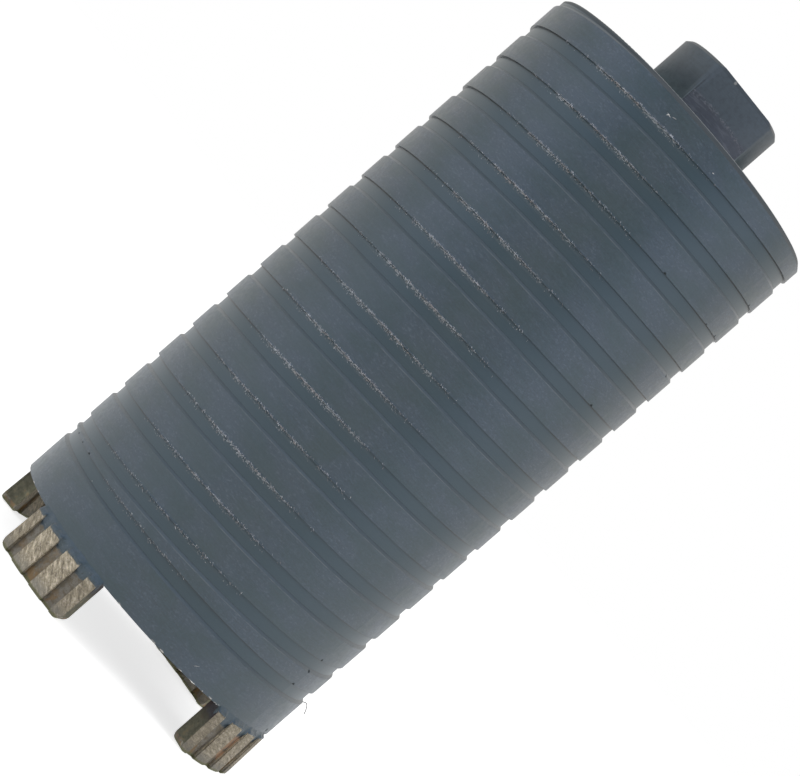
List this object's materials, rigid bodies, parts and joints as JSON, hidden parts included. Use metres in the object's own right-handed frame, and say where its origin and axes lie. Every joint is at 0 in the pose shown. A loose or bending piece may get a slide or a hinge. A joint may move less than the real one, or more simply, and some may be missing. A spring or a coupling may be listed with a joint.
{
  "type": "diamond core bit",
  "caption": "Cylindrical dry diamond core bit with a spiral relief groove, ribbed cutting segments on its rim and a threaded hub for a drill spindle.",
  "frame": {"origin": "on the axis, in the plane of the free tips of the cutting segments, on which the bit stands", "axes": "+Z along the axis from the cutting end to the hub; +X and +Y pass through the middles of two neighbouring segments"},
  "size_m": [0.0822, 0.0822, 0.1845],
  "materials": {
    "barrel_paint": "satin slate-blue paint over turned steel",
    "hub_paint": "satin dark slate paint over turned and milled steel",
    "weld_paint": "painted weld bead",
    "segment_matrix": "coarse sintered metal with diamond grit"
  },
  "bodies": {
    "root": {"barrel": "barrel_paint", "back_plate": "barrel_paint", "plate_weld": "weld_paint", "hub": "hub_paint", "hub_weld": "weld_paint", "segment_1": "segment_matrix", "segment_2": "segment_matrix", "segment_3": "segment_matrix", "segment_4": "segment_matrix"}
  },
  "joints": []
}
